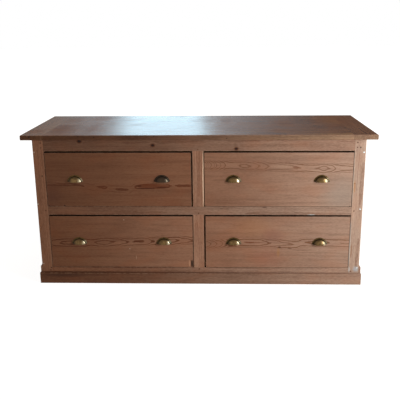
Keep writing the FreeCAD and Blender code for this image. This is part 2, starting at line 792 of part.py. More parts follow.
def draw_cup_section(sketch):
    """The cup's wall cut through its middle: a round crown, a tight shoulder and two plain rims."""
    crown_centre = ("cup_crown_centre", "0")
    shoulder_centre = ("0", "cup_radius - cup_shoulder_radius")
    shoulders = []
    crowns = []
    for name, depth in (("outer", "0"), ("inner", "cup_wall")):
        rim = ("0", f"cup_radius - {depth}")
        reach = f"(cup_crown_radius - {depth}) / (cup_crown_radius - cup_shoulder_radius)"
        joint = (f"cup_crown_centre * (1 - {reach})", f"(cup_radius - cup_shoulder_radius) * {reach}")
        lip = (f"-(cup_projection - {depth})", "0")
        shoulder = draw_arc(sketch, f"{name}_shoulder", shoulder_centre,
                            f"cup_shoulder_radius - {depth}", rim, joint)
        pin_end(sketch, shoulder, 1, f"{name}_rim", *rim)
        pin_end(sketch, shoulder, 2, f"{name}_joint", *joint)
        crown = draw_arc(sketch, f"{name}_crown", crown_centre, f"cup_crown_radius - {depth}",
                         joint, lip)
        sketch.addConstraint(Sketcher.Constraint("Coincident", crown, 1, shoulder, 2))
        pin_end(sketch, crown, 2, f"{name}_lip", *lip)
        shoulders.append(shoulder)
        crowns.append(crown)
    join_ends(sketch, shoulders, 1)
    join_ends(sketch, crowns, 2)


def join_ends(sketch, curves, end):
    """Joins two curves by a straight line between their starts (1) or their ends (2)."""
    first, second = curves
    line = sketch.addGeometry(Part.LineSegment(sketch.getPoint(first, end),
                                               sketch.getPoint(second, end)), False)
    sketch.addConstraint(Sketcher.Constraint("Coincident", line, 1, first, end))
    sketch.addConstraint(Sketcher.Constraint("Coincident", line, 2, second, end))


def make_cup_pull(at, x, z):
    """A hollow dome on a round flange, both cut off level at the mouth of the cup."""
    pull = new_body(f"{at[0]} + {x}", at[1], f"{at[2]} + {z}")
    section = new_sketch(pull, "YZ", ("0", "0", "-cup_sink"))
    draw_cup_section(section)
    dome = pull.newObject("PartDesign::Revolution", "Revolution")
    dome.Profile = section
    dome.ReferenceAxis = (section, ["H_Axis"])
    dome.Angle = 180
    dome.Midplane = True
    arch = new_sketch(pull, "XZ", ("0", "0", "-cup_sink"))
    draw_arch(arch, "cup_radius + flange_margin", "cup_radius - cup_wall / 2")
    flange = pull.newObject("PartDesign::Pad", "Pad")
    flange.Profile = arch
    bind(flange, Length="flange_thickness")
    cut_from(pull, "XZ", ("-(cup_radius + flange_margin)", "-cup_projection", "-cup_sink"),
             rectangle("2 * (cup_radius + flange_margin)", "cup_sink"), "cup_projection")
    for hole_x, hole_z in PULL_HOLES:
        cut_from(pull, "XZ", (hole_x, "-flange_thickness", hole_z), "screw_hole_radius", "flange_thickness")
    return pull


# ---------------------------------------------------------------- assembly

make_top()
make_stiles()
make_rails()
make_muntins()
make_pegs()
make_plank_ends()
make_back_boards()
make_partition()
make_plinth()
make_runners()
make_kickers()
make_stops()
for level in MUNTIN_GAPS:
    for column in ("left", "right"):
        make_drawer(level, column)
doc.recompute()

for thing in doc.Objects:
    if "Invalid" in thing.State or "Error" in thing.State:
        raise RuntimeError(f"{thing.Label} did not compute: {thing.State}")
for node in nodes:
    if node.Shape.isNull() or not node.Shape.isValid():
        raise RuntimeError(f"{node.Label} has no valid shape")
    node.Shape.exportStep(f"parts/{node.Label}.step")
print(f"{len(nodes)} nodes, {sum(len(node.Shape.Solids) for node in nodes)} solids")
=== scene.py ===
# %% [markdown]
# # A seed storage cabinet in old stripped pine
# The cabinet is a long chest of four wide drawers under a thick plank top. Its boards, joints and
# drawers are already solid geometry, so this lesson dresses them: every board gets pine of its own,
# every drawer gets its brass cup pulls and their screws, and then a floor, soft window light and a
# camera are set up around it.

# %% Load the cabinet
import math
import random

import bmesh
import bpy
from mathutils import Matrix, Vector


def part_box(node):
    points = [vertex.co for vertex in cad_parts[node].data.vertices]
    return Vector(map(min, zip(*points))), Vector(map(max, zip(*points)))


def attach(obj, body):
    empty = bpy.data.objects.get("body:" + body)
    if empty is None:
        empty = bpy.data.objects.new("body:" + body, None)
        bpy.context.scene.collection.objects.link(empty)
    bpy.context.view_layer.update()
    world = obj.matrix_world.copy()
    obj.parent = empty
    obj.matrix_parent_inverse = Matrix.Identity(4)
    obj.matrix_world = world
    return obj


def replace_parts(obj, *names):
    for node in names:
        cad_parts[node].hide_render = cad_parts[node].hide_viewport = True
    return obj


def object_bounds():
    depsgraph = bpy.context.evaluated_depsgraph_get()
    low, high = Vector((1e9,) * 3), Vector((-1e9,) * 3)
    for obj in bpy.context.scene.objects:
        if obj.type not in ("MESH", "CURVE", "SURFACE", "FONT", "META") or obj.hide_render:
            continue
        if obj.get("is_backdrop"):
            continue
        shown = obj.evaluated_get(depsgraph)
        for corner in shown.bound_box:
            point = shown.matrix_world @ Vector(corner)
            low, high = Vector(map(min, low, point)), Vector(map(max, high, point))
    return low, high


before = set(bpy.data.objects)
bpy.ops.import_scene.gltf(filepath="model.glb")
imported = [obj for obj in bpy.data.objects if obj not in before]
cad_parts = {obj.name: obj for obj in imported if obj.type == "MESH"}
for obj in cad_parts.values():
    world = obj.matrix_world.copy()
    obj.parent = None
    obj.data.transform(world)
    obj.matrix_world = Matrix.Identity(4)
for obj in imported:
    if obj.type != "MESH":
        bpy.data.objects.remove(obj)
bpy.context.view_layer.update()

DRAWERS = [f"drawer_{level}_{column}" for level in ("upper", "lower") for column in ("left", "right")]

# %% [markdown]
# ## The camera
# The viewer stands a little right of the middle, about three metres away, with the camera at chest
# height. It looks slightly down, so the top shows as a thin band. A small lens shift moves the
# picture on the sensor without turning the camera, which keeps the uprights nearly upright.

# %% Camera
eye = Vector((0.1275, -2.9568, 1.4756))
turn, tilt, lean = -0.0287, 0.2178, 0.0086    # radians: to the side, down, and rolled
ahead = Vector((math.sin(turn) * math.cos(tilt), math.cos(turn) * math.cos(tilt), -math.sin(tilt)))
level = Vector((math.cos(turn), -math.sin(turn), 0))
below = ahead.cross(level)
side = math.cos(lean) * level + math.sin(lean) * below
up = math.sin(lean) * level - math.cos(lean) * below

lens = bpy.data.cameras.new("camera")
lens.lens = 45
lens.sensor_width = 36
lens.shift_x = -0.0169
lens.shift_y = -0.161
camera = bpy.data.objects.new("camera", lens)
camera.matrix_world = Matrix.Translation(eye) @ Matrix((side, up, -ahead)).transposed().to_4x4()
bpy.context.scene.collection.objects.link(camera)
bpy.context.scene.camera = camera
print(f"camera {eye.length:.2f} m from the origin, looking {math.degrees(tilt):.1f} degrees down")

# %% [markdown]
# ## Shader maths in plain Python
# A shader is a graph of nodes, and a long sum would need a dozen of them wired by hand. The small
# class below wraps a socket, so that an expression such as `1 - mask * 0.5` adds its own Math nodes.
# Every other node comes from one method, which takes the node's type, its settings and its inputs.

# %% A socket that can be used in sums
class Signal:
    def __init__(self, finish, socket):
        self.finish = finish
        self.socket = socket

    def math(self, operation, *values):
        return self.finish.node("ShaderNodeMath", {"operation": operation}, dict(enumerate(values)))

    def __add__(self, other):
        return self.math("ADD", self, other)

    def __sub__(self, other):
        return self.math("SUBTRACT", self, other)

    def __rsub__(self, other):
        return self.math("SUBTRACT", other, self)

    def __mul__(self, other):
        return self.math("MULTIPLY", self, other)

    def __truediv__(self, other):
        return self.math("DIVIDE", self, other)

    def __pow__(self, other):
        return self.math("POWER", self, other)

    __radd__ = __add__
    __rmul__ = __mul__

    def smaller(self, other):
        return self.math("MINIMUM", self, other)

    def larger(self, other):
        return self.math("MAXIMUM", self, other)

    def rise(self, start, end):
        """0 below start, 1 above end, and a smooth slope between; start may be the larger."""
        settings = {"interpolation_type": "SMOOTHSTEP"}
        return self.finish.node("ShaderNodeMapRange", settings,
                                {"Value": self, "From Min": start, "From Max": end})

    def through(self, points):
        """The height, at this place, of a smooth curve through (place, height) points."""
        start, end = points[0][0], points[-1][0]
        lowest = min(height for _, height in points)
        span = max(height for _, height in points) - lowest
        stops = [((place - start) / (end - start), (height - lowest) / span) for place, height in points]
        curve = self.finish.node("ShaderNodeValToRGB", {"stops": stops, "ease": "EASE"},
                                 {"Fac": (self - start) / (end - start)})
        return curve * span + lowest


# %% A material, or the world, under construction
def linear(code):
    """A colour written as on a paint card, such as 'b08060', in the linear values that shaders use."""
    channels = [int(code[i:i + 2], 16) / 255 for i in (0, 2, 4)]
    return [c / 12.92 if c < 0.04045 else ((c + 0.055) / 1.055) ** 2.4 for c in channels] + [1.0]


def falling_off(power):
    """e to a power, for light or bending that dies away with distance."""
    return power.math("EXPONENT", power)


class Finish:
    def __init__(self, name, kind="materials"):
        self.owner = getattr(bpy.data, kind).new(name)
        self.owner.use_nodes = True
        self.tree = self.owner.node_tree
        self.tree.nodes.clear()

    def node(self, kind, settings=None, inputs=None, output=0):
        made = self.tree.nodes.new(kind)
        for name, value in (settings or {}).items():
            if name == "stops":
                self.set_stops(made.color_ramp, value)
            elif name == "ease":
                made.color_ramp.interpolation = value
            else:
                setattr(made, name, value)
        for name, value in (inputs or {}).items():
            if isinstance(value, Signal):
                self.tree.links.new(value.socket, made.inputs[name])
            else:
                made.inputs[name].default_value = value
        return None if output is None else Signal(self, made.outputs[output])

    def set_stops(self, ramp, stops):
        while len(ramp.elements) < len(stops):
            ramp.elements.new(1.0)
        for element, (position, value) in zip(ramp.elements, stops):
            element.position = position
            element.color = (value, value, value, 1)

    def places(self):
        """X, Y and Z in metres, in the cabinet's own frame."""
        here = self.node("ShaderNodeTexCoord", output="Object")
        return [self.node("ShaderNodeSeparateXYZ", {}, {0: here}, output=i) for i in range(3)]

    def vector(self, x, y, z):
        return self.node("ShaderNodeCombineXYZ", {}, {0: x, 1: y, 2: z})

    def noise(self, x, y, z, detail=2.0):
        """Soft random values about 0.5, one wave for each unit of x, y and z."""
        inputs = {"Vector": self.vector(x, y, z), "Scale": 1.0, "Detail": detail}
        return self.node("ShaderNodeTexNoise", {"noise_dimensions": "3D"}, inputs)

    def blend(self, amount, first, second, mode="MIX"):
        """One colour over another; the amount is a mask from 0 to 1."""
        settings = {"data_type": "RGBA", "blend_type": mode, "clamp_factor": True}
        return self.node("ShaderNodeMix", settings, {0: amount, 6: first, 7: second}, output=2)

    def rays(self, *names):
        """1 for the kinds of ray that are named, such as 'Is Camera Ray', and 0 for the others."""
        seen = [self.node("ShaderNodeLightPath", output=name) for name in names]
        either = seen[0]
        for other in seen[1:]:
            either = either.larger(other)
        return either

    def shade(self, colour, roughness, height=None, relief=0.001, **fixed):
        """The Principled shader: varying sockets are linked, and uniform ones set directly."""
        inputs = {"Base Color": colour, "Roughness": roughness}
        inputs.update({name.replace("_", " "): value for name, value in fixed.items()})
        if height is not None:
            inputs["Normal"] = self.node("ShaderNodeBump", {}, {"Height": height, "Distance": relief})
        return self.node("ShaderNodeBsdfPrincipled", {}, inputs)

    def close(self, shader, kind="ShaderNodeOutputMaterial"):
        """Ends the graph in its output and hands back the finished material or world."""
        self.node(kind, {}, {"Surface": shader}, output=None)
        return self.owner

# %% [markdown]
# ## The floor, the wall behind and the light
# Light Path makes the background white to the camera, to mirrors and to clear glass. The floor is
# half that white and half an ordinary pale floor, so it still takes the cabinet's shadow. A tall
# window close to the right-hand end lights the front, which makes that end two or three times as
# bright as the other. Reflections alone see a glowing sheet behind the cabinet, which is no lamp: it
# is painted as a wall with a window, and that painted window is the pale reflection in the waxed top.

# %% World and floor
WHITE = (1, 1, 1, 1)


def white_over(finish, shader, share, colour, strength):
    """Plain white over a shader, by a share of what the camera, a mirror or clear glass sees."""
    seen = finish.rays("Is Camera Ray", "Is Glossy Ray", "Is Transmission Ray") * share
    white = finish.node("ShaderNodeEmission", {}, {"Color": colour, "Strength": strength})
    return finish.node("ShaderNodeMixShader", {}, {0: seen, 1: shader, 2: white})


air = Finish("room", "worlds")
glow = air.node("ShaderNodeBackground", {}, {"Color": (1.0, 0.86, 0.74, 1), "Strength": 0.13})
bpy.context.scene.world = air.close(white_over(air, glow, 1.0, WHITE, 1.0), "ShaderNodeOutputWorld")
bpy.context.scene.view_settings.view_transform = "Standard"


def add_sheet(name, corners, material):
    """One flat stage piece from its four corners."""
    mesh = bmesh.new()
    mesh.faces.new([mesh.verts.new(corner) for corner in corners])
    data = bpy.data.meshes.new(name)
    mesh.to_mesh(data)
    mesh.free()
    data.materials.append(material)
    made = bpy.data.objects.new(name, data)
    bpy.context.scene.collection.objects.link(made)
    made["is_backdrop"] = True
    return made


NEAR, FAR = 0.9, 2.6                     # metres from the cabinet's middle
NEAR_WHITE = (0.862, 0.862, 0.862, 1)    # less white near the cabinet, where the lit floor adds more
FLOOR_SHARE, FLOOR_STRENGTH = 0.5, 2.17
FLOOR_REACH = 30

paint = Finish("pale_floor")
scuffs = paint.noise(*[place * 3 for place in paint.places()])
floor_colour = paint.blend(scuffs, linear("dcd8d2"), linear("d4cfc8"))
x, y, _ = paint.places()
away = (x * x + y * y) ** 0.5
whiter = paint.blend(away.rise(NEAR, FAR), NEAR_WHITE, WHITE)
pale_floor = paint.shade(floor_colour, 0.9, Specular_IOR_Level=0.0)
floor_shader = white_over(paint, pale_floor, FLOOR_SHARE, whiter, FLOOR_STRENGTH)
corners = [(-FLOOR_REACH, -FLOOR_REACH, 0), (FLOOR_REACH, -FLOOR_REACH, 0),
           (FLOOR_REACH, FLOOR_REACH, 0), (-FLOOR_REACH, FLOOR_REACH, 0)]
add_sheet("floor", corners, paint.close(floor_shader))

# %% The wall that the top reflects
WALL_Y, WALL_HALF_WIDTH, WALL_HEIGHT = 3.2, 6, 3.5
WINDOW_LEFT, WINDOW_RIGHT = -1.24, -0.115      # where its light begins and ends, along X
EDGE_HEIGHT = 1.53                             # the height at which its slanted edges have those places
LEFT_SLANT, RIGHT_SLANT = 0.35, 0.3


def wall_light():
    """A glowing sheet, no lamp, painted as a dim wall with a bright curtained window, whose right jamb is
    crisp and left edge soft: the reflection that the top shows.
    """
    wall = Finish("wall_behind")
    x, y, z = wall.places()
    left = x + (z - EDGE_HEIGHT) * LEFT_SLANT
    right = x - (z - EDGE_HEIGHT) * RIGHT_SLANT
    curtain = left.rise(WINDOW_LEFT - 0.12, WINDOW_LEFT + 0.12) * 0.4 \
        + left.rise(WINDOW_LEFT + 0.07, WINDOW_LEFT + 0.27) * 0.6
    pane = curtain * (1 - right.rise(WINDOW_RIGHT - 0.03, WINDOW_RIGHT + 0.1))
    fading = falling_off((WINDOW_RIGHT - x).smaller(0) / 0.72)
    far = wall.blend(x.rise(-2.05, -1.35), (0.33, 0.32, 0.30, 1), (0.50, 0.54, 0.57, 1))
    beside = wall.blend(x.rise(WINDOW_LEFT, WINDOW_RIGHT), far, (0.80, 0.92, 1.0, 1))
    plaster = wall.blend(1 - fading, beside, (0.05, 0.04, 0.035, 1))
    colour = wall.blend(pane, plaster, (1.84, 2.56, 2.96, 1))
    return wall.close(wall.node("ShaderNodeEmission", {}, {"Color": colour}))


corners = [(-WALL_HALF_WIDTH, WALL_Y, 0), (WALL_HALF_WIDTH, WALL_Y, 0),
           (WALL_HALF_WIDTH, WALL_Y, WALL_HEIGHT), (-WALL_HALF_WIDTH, WALL_Y, WALL_HEIGHT)]
wall_sheet = add_sheet("wall_behind", corners, wall_light())
for ray in ("camera", "diffuse", "transmission", "shadow", "volume_scatter"):
    setattr(wall_sheet, f"visible_{ray}", False)
print(f"a window {WINDOW_RIGHT - WINDOW_LEFT:.2f} m wide in the wall behind")

# %% Lamps
def add_window(name, centre, aim, width, height, strength, colour, mirrored=True):
    """A rectangle of light, in metres and watts; reflections show it only where it is mirrored."""
    light = bpy.data.lights.new(name, "AREA")
    light.shape = "RECTANGLE"
    light.size, light.size_y = width, height
    light.energy = strength
    light.color = colour
    made = bpy.data.objects.new(name, light)
    made.rotation_euler = (Vector(aim) - Vector(centre)).to_track_quat("-Z", "Y").to_euler()
    made.location = centre
    bpy.context.scene.collection.objects.link(made)
    made.visible_camera = False
    made.visible_glossy = mirrored


add_window("window_right", centre=(2.4, -1.75, 1.15), aim=(0.45, -0.3, 0.45), width=0.65, height=1.15,
           strength=74, colour=(0.92, 0.97, 1.0))
add_window("room_fill", centre=(-1.4, -5.6, 2.2), aim=(0, 0, 0.5), width=8, height=4,
           strength=52, colour=(1.0, 0.86, 0.70))
add_window("room_back", centre=(1.2, 5.0, 2.0), aim=(0, 0, 0.5), width=6, height=3,
           strength=60, colour=(1.0, 0.90, 0.80), mirrored=False)

# %% [markdown]
# ## Pine
# Pine is painted as it grows. A board is a slice of a trunk, so its pattern is a set of rings round
# a pith line that lies some way behind its face. Where the face runs nearly along the pith line, the
# rings come out as long eyes, arrows and flames; towards the board's edges they close up into fine
# straight lines. One function makes all the boards from this idea: `figure` bends the rings along
# the board, knots push them aside, and noise adds fibres, wax, grime and worn arrises on top.
# Painted shadow darkens the gaps round the drawers and the edges of the drawer fronts.

# %% Growth rings
def growth_rings(finish, along, across, depth, board):
    """Age of the wood at a point, in rings, for a trunk whose pith lies behind the board's face."""
    seed = board["seed"]
    slow = finish.noise(along * 1.3 + seed, across * 5, depth * 5) - 0.5
    bend = finish.noise(along * 13 - seed, across * 34, depth * 34, detail=3) - 0.5
    kink = finish.noise(along * 42 + seed, across * 170, depth * 170) - 0.5
    heart = board["heart"]
    if board["bow"]:
        heart = along.through(board["bow"])
    sideways = across - heart - (along - board["middle"]) * board["slope"] + bend * board["sway"]
    behind = depth + board["pith"]
    radius = (sideways * sideways + behind * behind) ** 0.5
    age = (radius + slow * board["wander"]) / board["pitch"] + bend * 0.3 + kink * 0.2
    if board["figure"]:
        age = age + along.through(board["figure"])
    for place_along, place_across, size in board["knots"]:
        near = knot_distance(along, across, place_along, place_across, size)
        age = age + falling_off(near * near * -0.35) * 2.2
    return age, sideways


def knot_distance(along, across, place_along, place_across, size):
    """Distance from a knot's middle, 1 at the rim of its dark core."""
    u = (along - place_along) / (size * 1.25)
    v = (across - place_across) / size
    return (u * u + v * v) ** 0.5


# %% Marks on the wood
def oval(finish, u, v, ragged, place, size, soft, rag):
    """A mask that is 1 inside an oval about a place on the face, with a soft and ragged edge."""
    u = (u - place[0]) / size[0]
    v = (v - place[1]) / size[1]
    return ((u * u + v * v) ** 0.5 + (ragged - 0.5) * rag).rise(1 + soft, 1 - soft)


def spot(place, size, colour, strength=1.0, soft=0.4, rag=0.5, lying=False):
    """A ragged oval on an upright board, at (x, z) with half sizes (x, z); or (x, y) on the top."""
    def paint_over(finish, x, y, z, under):
        ragged = finish.noise(x * 90, y * 90, z * 90, detail=3)
        mask = oval(finish, x, y if lying else z, ragged, place, size, soft, rag)
        return finish.blend(mask * strength, under, linear(colour))
    return paint_over


def lit_front_edge(front_y, left, right):
    """The front edge of the top, painted with shade at the left and with the window's cool light at the
    right.
    """
    def paint_over(finish, x, y, z, under):
        tint = finish.blend(x.rise(-0.75, 1.35), (*left, 1.0), (*right, 1.0))
        return finish.blend(y.rise(front_y + 0.003, front_y), under, tint, mode="MULTIPLY")
    return paint_over


def dots(colour, radius, *places):
    """Several small marks of one kind, such as plugged nail holes or specks of paint."""
    return [spot(place, (radius, radius), colour, 0.9, soft=0.35, rag=0.3) for place in places]


# %% A board's finish
KNOT_RING, KNOT_CORE = "6b3d24", "2a140d"
# The first colour darkens arrises: grime, and on the drawer fronts also painted shade of the gaps. The
# second is the painted shadow deep in the gaps.
GRIME_AND_GAP_SHADE, GAP_SHADOW = "26140c", "0a0504"
DULLED = (0.8, 0.8, 0.8, 1)


def edge_distance(x, y, z, low, high):
    """On a squared board, how far a point of its surface is from the nearest arris, in metres."""
    first, second, third = [(place - start).smaller(end - place)
                            for place, start, end in zip((x, y, z), low, high)]
    return first.smaller(second).larger(first.larger(second).smaller(third))


def pine(name, board):
    finish = Finish(name)
    x, y, z = finish.places()
    axes = {"x": x, "y": y, "z": z}
    along, across = axes[board["along"]], axes[board["across"]]
    depth = (axes[board["face"]] - board["face_at"]) * board["inward"]
    seed = board["seed"]
    age, sideways = growth_rings(finish, along, across, depth, board)
    phase = age.math("FRACT", age)
    spread = (sideways * sideways).rise(0.0, 0.0004) * board["spread"]
    late = (phase + spread).rise(*board["late_from"]) * (1 - phase.rise(0.975, 1.0))
    ring = age.math("FLOOR", age)
    strength = finish.noise(ring * 3.7, along * 2.5 + seed, 0.5, detail=1).rise(0.3, 0.62)
    plainer = 1 - (sideways * sideways).rise(*board["fade"]) * board["faded"]
    line = late * (strength * (1 - board["steady"]) + board["steady"]) * plainer

    fibre = finish.noise(along * 7 + seed, across * 420, depth * 420, detail=3)
    streak = finish.noise(along * 2.2 - seed, across * 70, depth * 70, detail=3)
    band = finish.noise(along * 0.9 + seed, across * 22, depth * 22, detail=3)
    cloud = finish.noise(along * 2.6, across * 4.5 + seed, depth * 4, detail=3)
    fleck = finish.noise(along * 55 + seed, across * 190, depth * 190, detail=4)
    dash = finish.noise(along * 8 + seed, across * 60, depth * 60, detail=3)
    blush = finish.noise(along * 6 - seed, across * 11, depth * 11, detail=2)
    colour = finish.blend(line * board["contrast"], linear(board["early"]), linear(board["late"]))
    layers = (
        (streak.rise(0.44, 0.72) * 0.5, "streak"),
        (dash.rise(0.52, 0.72) * board["dash"], "fibre"),
        (dash.rise(0.46, 0.3) * (board["dash"] * 0.75), "pale"),
        (band.rise(0.5, 0.7) * 0.3, "fibre"),
        (band.rise(0.5, 0.3) * 0.28, "pale"),
        (cloud.rise(0.45, 0.75) * board["cloudy"], "cloud"),
        (fibre.rise(0.5, 0.75) * 0.25, "fibre"),
        (fleck.rise(0.5, 0.68) * board["fleck"], "fibre"),
        (fleck.rise(0.5, 0.32) * (board["fleck"] * 0.85), "pale"),
        (blush.rise(0.45, 0.7) * 0.22, "blush"),
    )
    for mask, named in layers:
        colour = finish.blend(mask, colour, linear(board[named]))

    for place_along, place_across, size in board["knots"]:
        near = knot_distance(along, across, place_along, place_across, size)
        colour = finish.blend(1 - near.rise(0.9, 2.1), colour, linear(KNOT_RING))
        colour = finish.blend(1 - near.rise(0.75, 1.05), colour, linear(KNOT_CORE))
    for mark in board["marks"]:
        colour = mark(finish, x, y, z, colour)
    # Painted light and shade, with each board's own shade: the colour is multiplied by a tone that changes
    # from one end of the board to the other.
    lit_tone = finish.blend(along.rise(*board["tone_span"]), *[(*tone, 1.0) for tone in board["tones"]])
    colour = finish.blend(1.0, colour, lit_tone, mode="MULTIPLY")

    arris = edge_distance(x, y, z, *board["box"])
    scuff = finish.noise(x * 60 + seed, y * 60, z * 60, detail=3)
    colour = finish.blend((1 - arris.rise(0.0, 0.005)) * scuff.rise(0.4, 0.62) * board["worn"],
                          colour, linear(board["worn_colour"]))
    # Dark arrises: grime along the joints, and on the drawer fronts, where the band is wide, painted shade
    # of the gaps.
    colour = finish.blend((1 - arris.rise(0.0004, board["grime_and_gap_shade_width"])) * board["grime_and_gap_shade"],
                          colour, linear(GRIME_AND_GAP_SHADE))

    roughness = board["roughness"] + (streak - 0.5) * 0.12 - line * 0.05
    roughness = roughness + (cloud - 0.5) * board["uneven"]
    height = line * 0.5 + fibre * 0.6 + streak * 0.3 + bend_of(finish, along, across, depth, board)
    shader = finish.shade(colour, roughness, height, board["relief"], Specular_IOR_Level=board["shine"])
    if board["dull"]:
        ragged = finish.noise(x * 14, y * 22, z * 14, detail=4)
        wear = finish.noise(x * 7, y * 9, 0.5, detail=4).rise(0.5, 0.72) * 0.22
        wear = wear.larger(z.rise(board["box"][1].z - 0.0005, board["box"][1].z - 0.003))
        for place, size, strength in board["dull"]:
            wear = wear.larger(oval(finish, x, y, ragged, place, size, 0.7, 1.4) * strength)
        worn = finish.blend(1.0, colour, DULLED, mode="MULTIPLY")
        bare = finish.shade(worn, 0.5, height, board["relief"], Specular_IOR_Level=0.12)
        shader = finish.node("ShaderNodeMixShader", {}, {0: wear, 1: shader, 2: bare})
    # Painted shadow: every surface of the board more than about 3.5 mm behind its face, as in the gaps
    # round the drawers, takes a near-black shader that reflects nothing.
    if board["gap_shadow"]:
        gap_shadow_shader = finish.shade(linear(GAP_SHADOW), 1.0, Specular_IOR_Level=0.0)
        gap = depth.rise(0.0006, 0.0035) * board["gap_shadow"]
        shader = finish.node("ShaderNodeMixShader", {}, {0: gap, 1: shader, 2: gap_shadow_shader})
    return finish.close(shader)


def bend_of(finish, along, across, depth, board):
    """Slow unevenness of a hand-planed face, which makes reflections in it waver."""
    return finish.noise(along * 6 + board["seed"], across * 26, depth * 26, detail=1) * board["waver"]


def assign(node, material):
    """Puts a material in every slot of a CAD node, or adds a slot where it has none."""
    slots = node.data.materials
    if not slots:
        slots.append(material)
    for index in range(len(slots)):
        slots[index] = material


EVEN = (1.0, 1.0, 1.0)
PLAIN = {
    "early": "a27c66", "late": "663c2a", "streak": "8a6552", "cloud": "84604d", "fibre": "6d4a38",
    "pale": "b18b73", "blush": "a5694a", "contrast": 0.62, "late_from": (0.62, 0.93), "steady": 0.35,
    "spread": 0.0, "fade": (0.0004, 0.003), "faded": 0.62, "dash": 0.4, "fleck": 0.35, "cloudy": 0.4,
    "worn": 0.4, "worn_colour": "c39c80", "grime_and_gap_shade": 0.6, "grime_and_gap_shade_width": 0.0014, "gap_shadow": 0.0,
    "roughness": 0.55, "uneven": 0.1, "shine": 0.15, "relief": 0.0006, "waver": 0.0, "dull": (),
    "pith": 0.06, "pitch": 0.004, "wander": 0.012, "sway": 0.006, "slope": 0.0, "bow": None,
    "figure": None, "knots": (), "marks": (), "tones": (EVEN, EVEN),
}


def board_of(node, along, face, outward, **own):
    """The numbers for one board: its grain, its seen face, and where its heart lies."""
    low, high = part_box(node)
    across = ({"x", "y", "z"} - {along, face}).pop()
    pick = random.Random(node)
    corner = high if outward > 0 else low
    board = dict(PLAIN)
    board.update({
        "along": along, "across": across, "face": face, "inward": -outward,
        "face_at": getattr(corner, face), "box": (low, high), "seed": pick.uniform(1, 60),
        "middle": (getattr(low, along) + getattr(high, along)) / 2,
        "heart": pick.uniform(getattr(low, across), getattr(high, across)),
        "pith": pick.uniform(0.03, 0.09), "slope": pick.uniform(-0.015, 0.015),
        "tone_span": (getattr(low, along), getattr(high, along)),
    })
    board.update(own)
    return board


# %% [markdown]
# ## Which way each board's grain runs
# Rails, drawer fronts, the top and the back boards lie along X; stiles, muntins and the end planks
# stand along Z; cleats, runners and drawer sides run from front to back along Y.

# %% Grain of the boards
GRAIN = {
    "top_front_board": ("x", "z", 1), "top_back_board": ("x", "z", 1),
    "top_end_left": ("y", "z", 1), "top_end_right": ("y", "z", 1),
    "stile_left": ("z", "y", -1), "stile_right": ("z", "y", -1),
    "rail_top": ("x", "y", -1), "rail_mid": ("x", "y", -1), "rail_bottom": ("x", "y", -1),
    "muntin_upper": ("z", "y", -1), "muntin_lower": ("z", "y", -1), "frame_pegs": ("y", "z", 1),
    "side_left_front_board": ("z", "x", -1), "side_left_back_board": ("z", "x", -1),
    "side_right_front_board": ("z", "x", 1), "side_right_back_board": ("z", "x", 1),
    "partition": ("z", "x", 1),
    "plinth_front": ("x", "y", -1), "plinth_left": ("y", "x", -1), "plinth_right": ("y", "x", 1),
    "runners_upper": ("y", "z", 1), "runners_lower": ("y", "z", 1), "kickers": ("y", "z", -1),
    "drawer_stops": ("y", "z", 1),
}
for number in (1, 2, 3, 4):
    GRAIN[f"back_board_{number}"] = ("x", "y", 1)
for drawer in DRAWERS:
    GRAIN[f"{drawer}_front"] = ("x", "y", -1)
    GRAIN[f"{drawer}_side_left"] = ("y", "x", -1)
    GRAIN[f"{drawer}_side_right"] = ("y", "x", 1)
    GRAIN[f"{drawer}_back"] = ("x", "y", 1)
    GRAIN[f"{drawer}_bottom"] = ("x", "z", 1)

# %% Kinds of finish
WAXED_TOP = {
    "early": "9f6c50", "late": "563022", "streak": "86573f", "cloud": "764a36", "fibre": "5d3928",
    "pale": "b07e5e", "worn_colour": "b5805f", "roughness": 0.17, "uneven": 0.07, "shine": 0.5,
    "relief": 0.0003, "waver": 1.6, "grime_and_gap_shade": 0.45, "cloudy": 0.9,
}
BARE = {
    "early": "bb9470", "late": "94633f", "streak": "ab8159", "cloud": "a67d58", "fibre": "8f6647",
    "pale": "c6a27e", "worn": 0.2, "grime_and_gap_shade": 0.25, "roughness": 0.72, "shine": 0.2, "worn_colour": "c9a888",
}
PEG = {"early": "5b3a28", "late": "382016", "streak": "4a2e20", "cloud": "45291c", "fibre": "38201a",
       "pale": "64422f"}

# On the fronts the dark band along the arrises is wide: painted shade of the gaps round each drawer, over
# grime.
FRONT = {
    "pith": 0.06, "slope": 0.0, "wander": 0.0016, "sway": 0.005, "grime_and_gap_shade_width": 0.0036, "grime_and_gap_shade": 0.75,
    "contrast": 0.95, "late": "6a3e23", "late_from": (0.74, 0.89), "steady": 0.8, "spread": 0.3,
    "fade": (0.0003, 0.0011), "faded": 0.85, "dash": 0.28, "fleck": 0.22,
}

